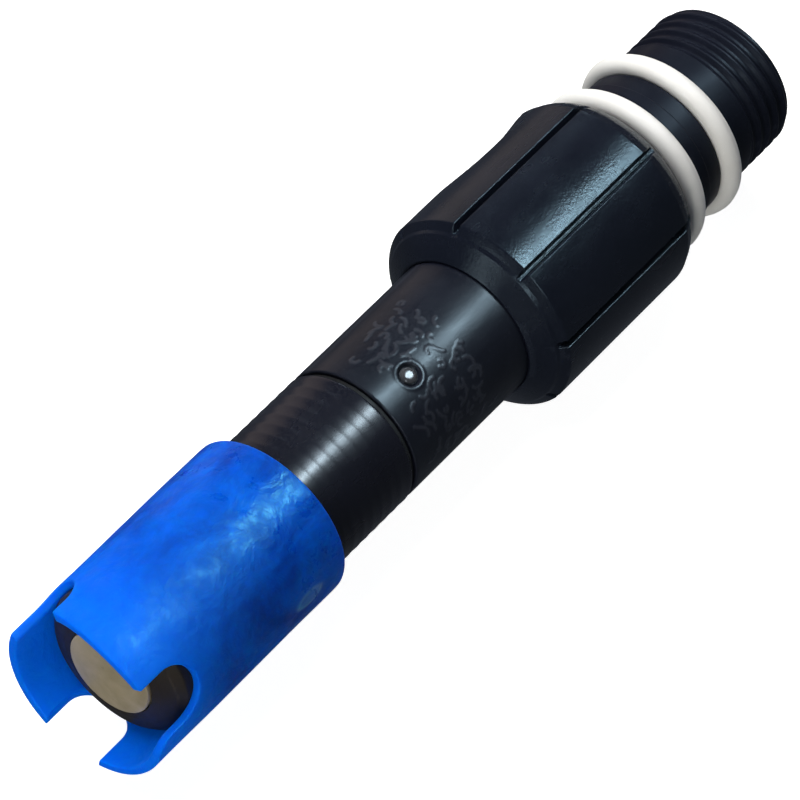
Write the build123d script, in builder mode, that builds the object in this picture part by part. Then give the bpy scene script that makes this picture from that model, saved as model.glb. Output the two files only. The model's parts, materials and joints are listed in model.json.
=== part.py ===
"""Screw-in drip emitter: threaded inlet shank, fluted grip, turning barrel, spring poppet, slotted guard.

All sizes are in millimetres. The emitter lies along X. The inlet face is at x = 0 and the body runs
towards -X, so a station is a distance from the inlet face, measured towards the outlet.
"""

import os
from math import cos, radians, sin, sqrt

from build123d import *

# Inlet shank: half-inch parallel pipe thread
shank_r = 20.955 / 2
thread_pitch = 1.814
thread_depth = 1.162
thread_end = 9.4
tip_chamfer = 1.1
inlet_bore_r = 7.0
inlet_bore_end = 6.0
strainer_bore_r = 7.6
second_land_r = 10.75
second_land_start = 17.6
plug_r = 11.3

# Strainer
strainer_r = 5.6
strainer_end = 29.0
strainer_slots = 12
strainer_rows = 3

# White seals on the shank
shank_seal_section = 3.0
outer_seal_station = 13.55
inner_seal_station = 21.6
outer_seal_r = 12.2
inner_seal_r = 12.45

# Fluted grip
grip_start = 23.6
grip_bore_r = 11.33
grip_neck_r = 11.6
grip_base_r = 12.9
land_r = 14.05
land_start = 24.9
land_end = 52.0
land_count = 8
groove_width = 0.8
groove_first_angle = 120.6
shoulder_start = 52.35
grip_end = 54.5
lip_r = 10.25
saddle_angle = 26.3
saddle_station = 35.3
saddle_depth = 0.8
saddle_r = 52.0

# Turning barrel
barrel_r = 9.76
barrel_bore_r = 8.2
barrel_start = 37.2
barrel_flange_r = 11.25
barrel_flange_end = 45.2
barrel_end = 76.65
barrel_running_gap = 0.08
barrel_seal_section = 1.5
barrel_seal_stations = (39.5, 43.3)
stop_lug_arc = 38
stop_lug_gap = 2
mark_station = 70.8
mark_angle = 115.6
pin_r = 1.15
pin_foot_r = 6.85

# Metering discs
disc_start = 34.0
fixed_disc_r = 9.5
turning_disc_r = 9.0
port_r = 1.1
port_circle_r = 5.8

# Pressure compensating cartridge
core_start = 42.0
core_end = 60.0
cartridge_r = 8.15
channel_count = 6
channel_pitch = 2.6
channel_width = 1.2
channel_depth = 1.3

# Lower sleeve
spigot_start = 66.2
spigot_bore_r = 6.0
spigot_seal_section = 1.2
sleeve_start = 77.45
sleeve_r = 9.80
ring_pitch = 1.81
ring_count = 8
ring_depth = 0.05
collar_r = 10.45
collar_start = 93.6
collar_end = 113.95
sleeve_end = 118.0
sleeve_bore_r = 8.4
guide_bore_r = 8.75
guide_start = 96.0
nose_socket_start = 112.0
nose_socket_r = 9.2
guard_ring_station = 103.6
guard_ring_section = 1.0

# Outlet nose and poppet
nose_r = 10.16
nose_face = 122.45
throat_r = 5.2
recess_r = 5.95
seat_station = 121.6
poppet_disc_r = 5.86
poppet_disc_edge = 122.8
poppet_disc_crown = 123.15
stem_r = 1.55
stem_start = 78.6
clip_bore_r = 1.15
head_r = 4.7
boss_r = 2.0
poppet_seal_station = 120.3
poppet_seal_section = 0.9
spring_start = 82.0
spring_mean_r = 4.6
spring_wire_r = 0.4
spring_turns = 5

# Slotted guard
guard_start = 92.7
guard_end = 127.36
guard_r = 11.54
guard_collar_bore_r = 10.53
guard_bore_r = 10.24
notch_r = 3.95
notch_root = 119.4
notch_angles = (39.8, 159.6, 282.4)
crown_angle = 118.3
crown_r = 28.0


def at(*stations):
    """Outline corners from (station, radius) pairs."""
    return [(-station, radius) for station, radius in stations]


def radial_plane(angle, station=0, radius=0):
    """Plane facing outwards at an angle from +Y towards +Z, with its x direction along +X."""
    outwards = (0, cos(radians(angle)), sin(radians(angle)))
    origin = (-station, radius * outwards[1], radius * outwards[2])
    return Plane(origin=origin, x_dir=(1, 0, 0), z_dir=outwards)


def half_plane(angle):
    """Drawing plane through the X axis, with its y direction outwards at that angle."""
    return Plane(origin=(0, 0, 0), x_dir=(1, 0, 0), z_dir=(0, -sin(radians(angle)), cos(radians(angle))))


def dome(rim_station, rim_r, crown_station):
    """Three corners of a spherical dome's outline, from its rim to its crown on the axis."""
    height = crown_station - rim_station
    sphere_r = (height**2 + rim_r**2) / (2 * height)
    half_way = crown_station - sphere_r + sqrt(sphere_r**2 - (rim_r / 2) ** 2)
    return at((rim_station, rim_r), (half_way, rim_r / 2), (crown_station, 0))


def ring_outline(station, outer_r, section):
    """Round section of a moulded ring, drawn in the open sketch."""
    with Locations((-station, outer_r - section / 2)):
        Circle(section / 2)


os.makedirs("parts", exist_ok=True)

# --- Inlet body ---------------------------------------------------------------------------------

outer_groove = (outer_seal_station - 1.6, outer_seal_station + 1.6)
inner_groove = (inner_seal_station - 1.6, grip_start)
outer_groove_r = outer_seal_r - shank_seal_section - 0.02
inner_groove_r = inner_seal_r - shank_seal_section - 0.02
plug_end = disc_start + 3.0
disc_pocket_r = fixed_disc_r + 0.03
thread_root_r = shank_r - thread_depth
thread_run_in = thread_pitch

with BuildPart() as inlet_shank:
    with BuildSketch(Plane.XY):
        with BuildLine():
            Polyline(
                *at(
                    (0, inlet_bore_r),
                    (0, thread_root_r),
                    (tip_chamfer, shank_r),
                    (outer_groove[0], shank_r),
                    (outer_groove[0], outer_groove_r),
                    (outer_groove[1], outer_groove_r),
                    (outer_groove[1], shank_r),
                    (second_land_start, shank_r),
                    (second_land_start + 0.2, second_land_r),
                    (inner_groove[0], second_land_r),
                    (inner_groove[0], inner_groove_r),
                    (inner_groove[1], inner_groove_r),
                    (grip_start, plug_r),
                    (plug_end, plug_r),
                    (plug_end, disc_pocket_r),
                    (disc_start, disc_pocket_r),
                    (disc_start, strainer_bore_r),
                    (inlet_bore_end, strainer_bore_r),
                    (inlet_bore_end, inlet_bore_r),
                ),
                close=True,
            )
        make_face()
    revolve(axis=Axis.X)
    with BuildLine() as thread_path:
        Helix(
            pitch=thread_pitch,
            height=thread_end - thread_pitch / 2 + thread_run_in,
            radius=thread_root_r,
            center=(thread_run_in, 0, 0),
            direction=(-1, 0, 0),
        )
    with BuildSketch(Plane(thread_path.line @ 0, x_dir=(1, 0, 0), z_dir=thread_path.line % 0)):
        with BuildLine():
            Polyline((-0.2, 0), (-0.85, -thread_depth - 0.1), (0.85, -thread_depth - 0.1), (0.2, 0), close=True)
        make_face()
    sweep(path=thread_path.line, is_frenet=True, mode=Mode.SUBTRACT)
inlet_shank.part.label = "inlet_shank"
export_step(inlet_shank.part, "parts/inlet_shank.step")

with BuildPart() as shank_seal_outer:
    with BuildSketch(Plane.XY):
        ring_outline(outer_seal_station, outer_seal_r, shank_seal_section)
    revolve(axis=Axis.X)
shank_seal_outer.part.label = "shank_seal_outer"
export_step(shank_seal_outer.part, "parts/shank_seal_outer.step")

with BuildPart() as shank_seal_inner:
    with BuildSketch(Plane.XY):
        ring_outline(inner_seal_station, inner_seal_r, shank_seal_section)
    revolve(axis=Axis.X)
shank_seal_inner.part.label = "shank_seal_inner"
export_step(shank_seal_inner.part, "parts/shank_seal_inner.step")

strainer_flange_end = inlet_bore_end + 1.3

with BuildPart() as strainer:
    with BuildSketch(Plane.XY):
        with BuildLine():
            Polyline(
                *at(
                    (inlet_bore_end + 0.05, strainer_r - 0.7),
                    (inlet_bore_end + 0.05, strainer_bore_r - 0.04),
                    (strainer_flange_end, strainer_bore_r - 0.04),
                    (strainer_flange_end, strainer_r),
                    (strainer_end, strainer_r),
                    (strainer_end, 0),
                    (strainer_end - 1, 0),
                    (strainer_end - 1, strainer_r - 0.7),
                ),
                close=True,
            )
        make_face()
    revolve(axis=Axis.X)
    for row in range(strainer_rows):
        for slot in range(strainer_slots // 2):
            with BuildSketch(radial_plane(slot * 360 / strainer_slots, station=12.2 + 6.2 * row)):
                SlotOverall(5.2, 0.9)
            extrude(amount=strainer_r + 1, both=True, mode=Mode.SUBTRACT)
strainer.part.label = "strainer"
export_step(strainer.part, "parts/strainer.step")

with BuildPart() as strainer_ring:
    with BuildSketch(Plane.XY):
        with Locations((-(strainer_flange_end + 0.7), (strainer_r + strainer_bore_r) / 2)):
            RectangleRounded(1.2, strainer_bore_r - strainer_r - 0.1, 0.2)
    revolve(axis=Axis.X)
strainer_ring.part.label = "strainer_ring"
export_step(strainer_ring.part, "parts/strainer_ring.step")

with BuildPart() as metering_disc_fixed:
    with BuildSketch(Plane.YZ.offset(-plug_end)):
        Circle(fixed_disc_r)
        with Locations((0, port_circle_r)):
            Circle(port_r, mode=Mode.SUBTRACT)
    extrude(amount=plug_end - disc_start - 0.02)
metering_disc_fixed.part.label = "metering_disc_fixed"
export_step(metering_disc_fixed.part, "parts/metering_disc_fixed.step")

barrel_hole_r = barrel_r + barrel_running_gap
shoulder_face = grip_end - 3.5

with BuildPart() as fluted_grip:
    with BuildSketch(Plane.XY):
        with BuildLine():
            Polyline(
                *at(
                    (grip_start, grip_bore_r),
                    (grip_start, grip_neck_r),
                    (land_start, grip_base_r),
                    (shoulder_start, grip_base_r),
                    (grip_end - 0.15, lip_r),
                    (grip_end, lip_r - 0.15),
                    (grip_end, barrel_hole_r),
                    (shoulder_face, barrel_hole_r),
                    (shoulder_face, grip_bore_r),
                ),
                close=True,
            )
        make_face()
    revolve(axis=Axis.X)
    with BuildSketch(Plane.XY):
        with BuildLine():
            Polyline(
                *at(
                    (land_start, grip_base_r - 0.5),
                    (land_start, grip_base_r),
                    (land_start + 1.5, land_r - 0.45),
                    (land_start + 2.9, land_r),
                    (land_end - 1.3, land_r),
                    (land_end - 1.0, land_r - 0.2),
                    (land_end, grip_base_r),
                    (land_end, grip_base_r - 0.5),
                ),
                close=True,
            )
        make_face()
    revolve(axis=Axis.X)
    for land in range(land_count):
        groove_angle = groove_first_angle + land * 360 / land_count
        with BuildSketch(radial_plane(groove_angle, station=(land_start + land_end) / 2, radius=grip_base_r)):
            Rectangle(land_end - land_start + 2, groove_width)
        extrude(amount=3, taper=-8, mode=Mode.SUBTRACT)
    with BuildSketch(half_plane(saddle_angle)):
        with Locations((-saddle_station, land_r - saddle_depth + saddle_r)):
            Circle(saddle_r)
    extrude(amount=12, both=True, mode=Mode.SUBTRACT)
fluted_grip.part.label = "fluted_grip"
export_step(fluted_grip.part, "parts/fluted_grip.step")

stop_ring_start = 48.6
stop_lug_start = barrel_flange_end + 0.4

with BuildPart() as stop_ring:
    with BuildSketch(Plane.XY):
        with BuildLine():
            Polyline(
                *at(
                    (stop_ring_start, barrel_hole_r),
                    (stop_ring_start, grip_bore_r - 0.03),
                    (shoulder_face - 0.05, grip_bore_r - 0.03),
                    (shoulder_face - 0.05, barrel_hole_r),
                ),
                close=True,
            )
        make_face()
    revolve(axis=Axis.X)
    with BuildSketch(half_plane(-stop_lug_arc)):
        with BuildLine():
            Polyline(
                *at(
                    (stop_lug_start, barrel_hole_r + 0.2),
                    (stop_lug_start, grip_bore_r - 0.1),
                    (stop_ring_start + 1, grip_bore_r - 0.1),
                    (stop_ring_start + 1, barrel_hole_r + 0.2),
                ),
                close=True,
            )
        make_face()
    revolve(axis=Axis.X, revolution_arc=stop_lug_arc)
stop_ring.part.label = "stop_ring"
export_step(stop_ring.part, "parts/stop_ring.step")

# --- Turning barrel -----------------------------------------------------------------------------

turning_pocket_end = barrel_start + 2.9
barrel_groove_r = barrel_flange_r + 0.05 - barrel_seal_section - 0.03
half_groove = barrel_seal_section / 2 + 0.15

with BuildPart() as barrel:
    with BuildSketch(Plane.XY):
        with BuildLine():
            Polyline(
                *at(
                    (barrel_start, turning_disc_r + 0.03),
                    (barrel_start, barrel_flange_r),
                    (barrel_flange_end, barrel_flange_r),
                    (barrel_flange_end, barrel_r),
                    (barrel_end - 0.2, barrel_r),
                    (barrel_end, barrel_r - 0.2),
                    (barrel_end, barrel_bore_r),
                    (turning_pocket_end, barrel_bore_r),
                    (turning_pocket_end, turning_disc_r + 0.03),
                ),
                close=True,
            )
        make_face()
        for seal_station in barrel_seal_stations:
            with Locations((-seal_station, barrel_groove_r + 1)):
                Rectangle(2 * half_groove, 2, mode=Mode.SUBTRACT)
    revolve(axis=Axis.X)
    with BuildSketch(half_plane(stop_lug_gap)):
        with BuildLine():
            Polyline(
                *at(
                    (barrel_flange_end - 0.3, barrel_r - 0.3),
                    (barrel_flange_end - 0.3, barrel_flange_r - 0.1),
                    (stop_ring_start - 0.3, barrel_flange_r - 0.1),
                    (stop_ring_start - 0.3, barrel_r - 0.3),
                ),
                close=True,
            )
        make_face()
    revolve(axis=Axis.X, revolution_arc=stop_lug_arc)
    with BuildSketch(radial_plane(mark_angle, station=mark_station)):
        Circle(pin_r + 0.03)
    extrude(amount=barrel_r + 1, mode=Mode.SUBTRACT)
    with BuildSketch(radial_plane(mark_angle, station=mark_station, radius=barrel_r - 0.6)):
        Circle(pin_r + 0.6)
    extrude(amount=2, mode=Mode.SUBTRACT)
barrel.part.label = "barrel"
export_step(barrel.part, "parts/barrel.step")

with BuildPart() as barrel_seal_inner:
    with BuildSketch(Plane.XY):
        ring_outline(barrel_seal_stations[0], barrel_flange_r + 0.05, barrel_seal_section)
    revolve(axis=Axis.X)
barrel_seal_inner.part.label = "barrel_seal_inner"
export_step(barrel_seal_inner.part, "parts/barrel_seal_inner.step")

with BuildPart() as barrel_seal_outer:
    with BuildSketch(Plane.XY):
        ring_outline(barrel_seal_stations[1], barrel_flange_r + 0.05, barrel_seal_section)
    revolve(axis=Axis.X)
barrel_seal_outer.part.label = "barrel_seal_outer"
export_step(barrel_seal_outer.part, "parts/barrel_seal_outer.step")

turning_disc_start = plug_end + 0.25
turning_disc_end = turning_pocket_end - 0.03

with BuildPart() as metering_disc_turning:
    with BuildSketch(Plane.YZ.offset(-turning_disc_end)):
        Circle(turning_disc_r)
    extrude(amount=turning_disc_end - turning_disc_start)
    with BuildSketch(Plane.YZ.offset(-turning_disc_start)):
        Circle(port_circle_r + 1.2)
        with Locations((0, -0.55)):
            Circle(port_circle_r - 0.5, mode=Mode.SUBTRACT)
    extrude(amount=-1.3, mode=Mode.SUBTRACT)
    with BuildSketch(Plane.YZ.offset(-turning_disc_end)):
        with Locations((0, port_circle_r)):
            Circle(port_r)
    extrude(amount=4, mode=Mode.SUBTRACT)
metering_disc_turning.part.label = "metering_disc_turning"
export_step(metering_disc_turning.part, "parts/metering_disc_turning.step")

core_r = cartridge_r - 0.03
first_channel = core_start + 2.0

with BuildPart() as labyrinth_core:
    with BuildSketch(Plane.XY):
        with BuildLine():
            Polyline(
                *at((core_start, 0), (core_start, core_r), (core_end, core_r), (core_end, 4), (core_end - 9, 4)),
                *at((core_end - 9, 0)),
                close=True,
            )
        make_face()
        for channel in range(channel_count):
            with Locations((-(first_channel + channel * channel_pitch), core_r)):
                Rectangle(channel_width, 2 * channel_depth, mode=Mode.SUBTRACT)
    revolve(axis=Axis.X)
    for gate in range(channel_count + 1):
        gate_angle = 180 * (gate % 2)
        gate_station = first_channel + (gate - 0.5) * channel_pitch
        with BuildSketch(radial_plane(gate_angle, station=gate_station, radius=core_r - channel_depth)):
            Rectangle(channel_pitch + 0.4, channel_width)
        extrude(amount=3, mode=Mode.SUBTRACT)
labyrinth_core.part.label = "labyrinth_core"
export_step(labyrinth_core.part, "parts/labyrinth_core.step")

diaphragm_start = core_end + 0.1

with BuildPart() as diaphragm:
    with BuildSketch(Plane.XY):
        with BuildLine():
            Polyline(
                *at(
                    (diaphragm_start + 0.5, 0),
                    (diaphragm_start + 0.5, 6.8),
                    (diaphragm_start, 7.1),
                    (diaphragm_start, core_r),
                    (diaphragm_start + 2.0, core_r),
                    (diaphragm_start + 2.0, 7.1),
                    (diaphragm_start + 1.5, 6.8),
                    (diaphragm_start + 1.5, 0),
                ),
                close=True,
            )
        make_face()
    revolve(axis=Axis.X)
diaphragm.part.label = "diaphragm"
export_step(diaphragm.part, "parts/diaphragm.step")

seat_start = diaphragm_start + 2.05

with BuildPart() as diaphragm_seat:
    with BuildSketch(Plane.XY):
        with BuildLine():
            Polyline(
                *at(
                    (seat_start, 6.9),
                    (seat_start, core_r),
                    (spigot_start - 0.05, core_r),
                    (spigot_start - 0.05, 0.8),
                    (seat_start + 0.4, 0.8),
                    (seat_start + 0.4, 1.6),
                    (seat_start + 2.3, 2.0),
                    (seat_start + 2.3, 6.9),
                ),
                close=True,
            )
        make_face()
    revolve(axis=Axis.X)
diaphragm_seat.part.label = "diaphragm_seat"
export_step(diaphragm_seat.part, "parts/diaphragm_seat.step")

with BuildPart() as seam_gasket:
    with BuildSketch(Plane.XY):
        with BuildLine():
            Polyline(
                *at(
                    (barrel_end + 0.03, barrel_bore_r),
                    (barrel_end + 0.03, barrel_r - 0.45),
                    (sleeve_start - 0.03, barrel_r - 0.45),
                    (sleeve_start - 0.03, barrel_bore_r),
                ),
                close=True,
            )
        make_face()
    revolve(axis=Axis.X)
seam_gasket.part.label = "seam_gasket"
export_step(seam_gasket.part, "parts/seam_gasket.step")

spigot_seal_station = spigot_start + 1.7
spigot_groove_r = cartridge_r + 0.02 - spigot_seal_section - 0.02
guard_ring_groove_r = guard_collar_bore_r - 0.02 - guard_ring_section - 0.02

with BuildPart() as lower_sleeve:
    with BuildSketch(Plane.XY):
        with BuildLine():
            Polyline(
                *at(
                    (spigot_start, spigot_bore_r),
                    (spigot_start, cartridge_r),
                    (sleeve_start, cartridge_r),
                    (sleeve_start, sleeve_r - 0.2),
                    (sleeve_start + 0.2, sleeve_r),
                    (collar_start, sleeve_r),
                    (collar_start + 0.6, collar_r),
                    (collar_end, collar_r),
                    (collar_end, nose_r),
                    (sleeve_end, nose_r),
                    (sleeve_end, nose_socket_r),
                    (nose_socket_start, nose_socket_r),
                    (nose_socket_start, guide_bore_r),
                    (guide_start, guide_bore_r),
                    (guide_start, sleeve_bore_r),
                    (sleeve_start + 2, sleeve_bore_r),
                    (sleeve_start + 0.5, spigot_bore_r),
                ),
                close=True,
            )
        make_face()
        with Locations((-spigot_seal_station, spigot_groove_r + 2)):
            Rectangle(spigot_seal_section + 0.3, 4, mode=Mode.SUBTRACT)
        with Locations((-guard_ring_station, guard_ring_groove_r + 2)):
            Rectangle(guard_ring_section + 0.3, 4, mode=Mode.SUBTRACT)
        for ring in range(ring_count):
            valley_r = (ring_pitch / 2 - 0.2) ** 2 / (2 * ring_depth)
            with Locations((-(sleeve_start + (ring + 0.75) * ring_pitch), sleeve_r - ring_depth + valley_r)):
                Circle(valley_r, mode=Mode.SUBTRACT)
    revolve(axis=Axis.X)
    with BuildSketch(radial_plane(mark_angle, station=mark_station, radius=pin_foot_r - 0.1)):
        Circle(pin_r + 0.03)
    extrude(amount=3, mode=Mode.SUBTRACT)
lower_sleeve.part.label = "lower_sleeve"
export_step(lower_sleeve.part, "parts/lower_sleeve.step")

with BuildPart() as spigot_seal:
    with BuildSketch(Plane.XY):
        ring_outline(spigot_seal_station, cartridge_r + 0.02, spigot_seal_section)
    revolve(axis=Axis.X)
spigot_seal.part.label = "spigot_seal"
export_step(spigot_seal.part, "parts/spigot_seal.step")

with BuildPart() as lock_pin:
    with BuildSketch(radial_plane(mark_angle, station=mark_station, radius=pin_foot_r)):
        Circle(pin_r)
    extrude(amount=barrel_r - pin_foot_r)
    fillet(lock_pin.edges().sort_by_distance((-mark_station, 0, 0))[-1], 0.4)
lock_pin.part.label = "lock_pin"
export_step(lock_pin.part, "parts/lock_pin.step")

guide_end = guide_start + 3.5
hub_start = guide_start - 2.0
hub_end = guide_end + 1.5

with BuildPart() as poppet_guide:
    with BuildSketch(Plane.XY):
        with BuildLine():
            Polyline(*at((guide_start + 0.02, 7.5), (guide_start + 0.02, guide_bore_r - 0.03)),
                     *at((guide_end, guide_bore_r - 0.03), (guide_end, 7.5)), close=True)
        make_face()
        with BuildLine():
            Polyline(*at((hub_start, stem_r + 0.05), (hub_start, 3.2), (hub_end, 3.2)),
                     *at((hub_end, stem_r + 0.05)), close=True)
        make_face()
    revolve(axis=Axis.X)
    for spoke in range(3):
        with BuildSketch(radial_plane(spoke * 120 + 30, station=(guide_start + guide_end) / 2, radius=2.6)):
            Rectangle(guide_end - guide_start - 0.04, 1.5)
        extrude(amount=5.4)
poppet_guide.part.label = "poppet_guide"
export_step(poppet_guide.part, "parts/poppet_guide.step")

with BuildPart() as nose_gasket:
    with BuildSketch(Plane.XY):
        with Locations((-(nose_socket_start + 0.3), (guide_bore_r + nose_socket_r) / 2)):
            Rectangle(0.5, nose_socket_r - guide_bore_r - 0.04)
    revolve(axis=Axis.X)
nose_gasket.part.label = "nose_gasket"
export_step(nose_gasket.part, "parts/nose_gasket.step")

nose_shoulder_start = nose_socket_start + 0.6

with BuildPart() as outlet_nose:
    with BuildSketch(Plane.XY):
        with BuildLine():
            Polyline(
                *at(
                    (nose_face - 0.1, recess_r),
                    (seat_station, recess_r),
                    (seat_station, throat_r),
                    (seat_station - 2.3, throat_r),
                    (seat_station - 4.6, 7.4),
                    (guide_end + 0.1, 7.4),
                    (guide_end + 0.1, guide_bore_r - 0.03),
                    (nose_shoulder_start, guide_bore_r - 0.03),
                    (nose_shoulder_start, nose_socket_r - 0.03),
                    (sleeve_end + 0.03, nose_socket_r - 0.03),
                    (sleeve_end + 0.03, nose_r),
                    (nose_face - 1.9, nose_r),
                )
            )
            ThreePointArc(
                *at(
                    (nose_face - 1.9, nose_r),
                    (nose_face - 0.85, 8.9),
                    (nose_face - 0.1, recess_r),
                )
            )
        make_face()
    revolve(axis=Axis.X)
outlet_nose.part.label = "outlet_nose"
export_step(outlet_nose.part, "parts/outlet_nose.step")

with BuildPart() as guard_ring:
    with BuildSketch(Plane.XY):
        ring_outline(guard_ring_station, guard_collar_bore_r - 0.02, guard_ring_section)
    revolve(axis=Axis.X)
guard_ring.part.label = "guard_ring"
export_step(guard_ring.part, "parts/guard_ring.step")

# --- Spring poppet ------------------------------------------------------------------------------

head_start = seat_station - 4.0
head_groove_r = throat_r - 0.05 - poppet_seal_section - 0.02
clip_start = stem_start + 1.0
retainer_start = spring_start - 1.4

with BuildPart() as poppet_stem:
    with BuildSketch(Plane.XY):
        with BuildLine():
            Polyline(
                *at(
                    (stem_start, 0),
                    (stem_start, stem_r - 0.3),
                    (stem_start + 0.3, stem_r),
                    (clip_start, stem_r),
                    (clip_start, clip_bore_r),
                    (clip_start + 0.7, clip_bore_r),
                    (clip_start + 0.7, stem_r),
                    (head_start - 2.5, stem_r),
                    (head_start, head_r),
                    (poppet_seal_station - 0.6, head_r),
                    (poppet_seal_station - 0.6, head_groove_r),
                    (poppet_seal_station + 0.6, head_groove_r),
                    (poppet_seal_station + 0.6, head_r),
                    (seat_station, head_r),
                    (seat_station, boss_r),
                    (seat_station + 0.6, boss_r),
                    (seat_station + 0.6, 0),
                ),
                close=True,
            )
        make_face()
    revolve(axis=Axis.X)
poppet_stem.part.label = "poppet_stem"
export_step(poppet_stem.part, "parts/poppet_stem.step")

with BuildPart() as poppet_seal:
    with BuildSketch(Plane.XY):
        ring_outline(poppet_seal_station, throat_r - 0.05, poppet_seal_section)
    revolve(axis=Axis.X)
poppet_seal.part.label = "poppet_seal"
export_step(poppet_seal.part, "parts/poppet_seal.step")

disc_back = seat_station + 0.05

with BuildPart() as deflector_disc:
    with BuildSketch(Plane.XY):
        with BuildLine():
            Polyline(
                *at(
                    (poppet_disc_crown, 0),
                    (disc_back + 0.65, 0),
                    (disc_back + 0.65, boss_r + 0.02),
                    (disc_back, boss_r + 0.02),
                    (disc_back, poppet_disc_r),
                    (poppet_disc_edge - 0.15, poppet_disc_r),
                    (poppet_disc_edge, poppet_disc_r - 0.2),
                )
            )
            ThreePointArc(*dome(poppet_disc_edge, poppet_disc_r - 0.2, poppet_disc_crown))
        make_face()
    revolve(axis=Axis.X)
deflector_disc.part.label = "deflector_disc"
export_step(deflector_disc.part, "parts/deflector_disc.step")

with BuildPart() as spring_retainer:
    with BuildSketch(Plane.XY):
        with BuildLine():
            Polyline(
                *at(
                    (retainer_start, stem_r + 0.02),
                    (retainer_start, 5.6),
                    (spring_start, 5.6),
                    (spring_start, 3.6),
                    (spring_start + 0.8, 3.4),
                    (spring_start + 0.8, stem_r + 0.02),
                ),
                close=True,
            )
        make_face()
    revolve(axis=Axis.X)
spring_retainer.part.label = "spring_retainer"
export_step(spring_retainer.part, "parts/spring_retainer.step")

with BuildPart() as stem_clip:
    with BuildSketch(Plane.YZ.offset(-(clip_start + 0.65))):
        Circle(2.9)
        Circle(clip_bore_r + 0.02, mode=Mode.SUBTRACT)
        with Locations((0, 2)):
            Rectangle(1.7, 4, mode=Mode.SUBTRACT)
    extrude(amount=0.6)
stem_clip.part.label = "stem_clip"
export_step(stem_clip.part, "parts/stem_clip.step")

spring_length = guide_start - spring_start - 2 * spring_wire_r - 0.1

with BuildPart() as coil_spring:
    with BuildLine() as spring_path:
        Helix(
            pitch=spring_length / spring_turns,
            height=spring_length,
            radius=spring_mean_r,
            center=(-(spring_start + spring_wire_r + 0.05), 0, 0),
            direction=(-1, 0, 0),
        )
    with BuildSketch(Plane(spring_path.line @ 0, z_dir=spring_path.line % 0)):
        Circle(spring_wire_r)
    sweep(path=spring_path.line, is_frenet=True)
coil_spring.part.label = "coil_spring"
export_step(coil_spring.part, "parts/coil_spring.step")

# --- Slotted guard ------------------------------------------------------------------------------

with BuildPart() as outlet_guard:
    with BuildSketch(Plane.XY):
        with BuildLine():
            Polyline(
                *at(
                    (guard_start + 0.55, guard_r - 0.1),
                    (guard_start + 1.1, guard_r),
                    (guard_end - 0.2, guard_r),
                    (guard_end, guard_r - 0.2),
                    (guard_end, guard_bore_r + 0.2),
                    (guard_end - 0.2, guard_bore_r),
                    (collar_end + 0.1, guard_bore_r),
                    (collar_end + 0.1, guard_collar_bore_r),
                    (guard_start + 0.25, guard_collar_bore_r),
                    (guard_start, guard_collar_bore_r + 0.2),
                )
            )
            ThreePointArc(
                *at(
                    (guard_start, guard_collar_bore_r + 0.2),
                    (guard_start + 0.14, guard_r - 0.45),
                    (guard_start + 0.55, guard_r - 0.1),
                )
            )
        make_face()
    revolve(axis=Axis.X)
    for notch_angle in notch_angles:
        with BuildSketch(radial_plane(notch_angle, notch_root + notch_r)):
            Circle(notch_r)
            with Locations((-6, 0)):
                Rectangle(12, 2 * notch_r)
        extrude(amount=guard_r + 3, mode=Mode.SUBTRACT)
    with BuildSketch(radial_plane(crown_angle, guard_end, radius=3)):
        Rectangle(8, 2 * guard_r)
        with Locations((crown_r, 0)):
            Circle(crown_r, mode=Mode.SUBTRACT)
    extrude(amount=guard_r, mode=Mode.SUBTRACT)
outlet_guard.part.label = "outlet_guard"
export_step(outlet_guard.part, "parts/outlet_guard.step")
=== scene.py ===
"""Looks of the screw-in drip emitter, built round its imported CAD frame.

Lengths are in millimetres, and in metres only for the camera, the lights, the studio and the
materials. A station is a distance from the inlet face along the axis, towards the outlet (so
x = -station), and an angle runs from +Y towards +Z about the axis.
"""

import json
import math

import bpy
import numpy as np
from mathutils import Matrix, Vector


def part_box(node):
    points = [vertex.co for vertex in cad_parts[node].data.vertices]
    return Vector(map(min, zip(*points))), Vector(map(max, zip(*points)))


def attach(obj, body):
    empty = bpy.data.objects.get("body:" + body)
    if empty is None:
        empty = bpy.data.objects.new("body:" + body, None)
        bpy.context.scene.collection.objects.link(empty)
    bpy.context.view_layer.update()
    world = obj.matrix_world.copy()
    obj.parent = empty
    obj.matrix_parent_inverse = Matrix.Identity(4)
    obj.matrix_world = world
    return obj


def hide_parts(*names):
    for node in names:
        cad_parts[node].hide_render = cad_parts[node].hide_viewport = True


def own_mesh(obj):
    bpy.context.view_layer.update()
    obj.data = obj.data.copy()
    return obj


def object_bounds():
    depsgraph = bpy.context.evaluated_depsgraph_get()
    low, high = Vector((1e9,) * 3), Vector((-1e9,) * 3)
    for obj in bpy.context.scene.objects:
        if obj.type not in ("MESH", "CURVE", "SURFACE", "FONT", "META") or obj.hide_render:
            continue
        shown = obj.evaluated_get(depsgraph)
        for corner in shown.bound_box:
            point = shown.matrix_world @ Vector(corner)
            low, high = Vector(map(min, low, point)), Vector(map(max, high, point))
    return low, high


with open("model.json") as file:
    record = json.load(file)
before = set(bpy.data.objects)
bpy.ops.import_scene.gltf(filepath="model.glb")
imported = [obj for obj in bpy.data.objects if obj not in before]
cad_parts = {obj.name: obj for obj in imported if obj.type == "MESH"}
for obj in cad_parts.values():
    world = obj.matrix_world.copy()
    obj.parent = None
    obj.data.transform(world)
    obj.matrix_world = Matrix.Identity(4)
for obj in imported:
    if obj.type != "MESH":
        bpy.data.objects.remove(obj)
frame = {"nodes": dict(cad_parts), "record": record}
cad_low, cad_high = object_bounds()

MM = 0.001
TURN = 2 * math.pi
FIT_GAP = 0.03  # between pieces that sit in one another
SEAL_SIDE_GAP = 0.15  # between a ring seal and each side of its groove
CAMERA_SIDE = 118.3  # angle of the side that faces the camera, in degrees


# --- Camera ---------------------------------------------------------------------------------------

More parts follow.
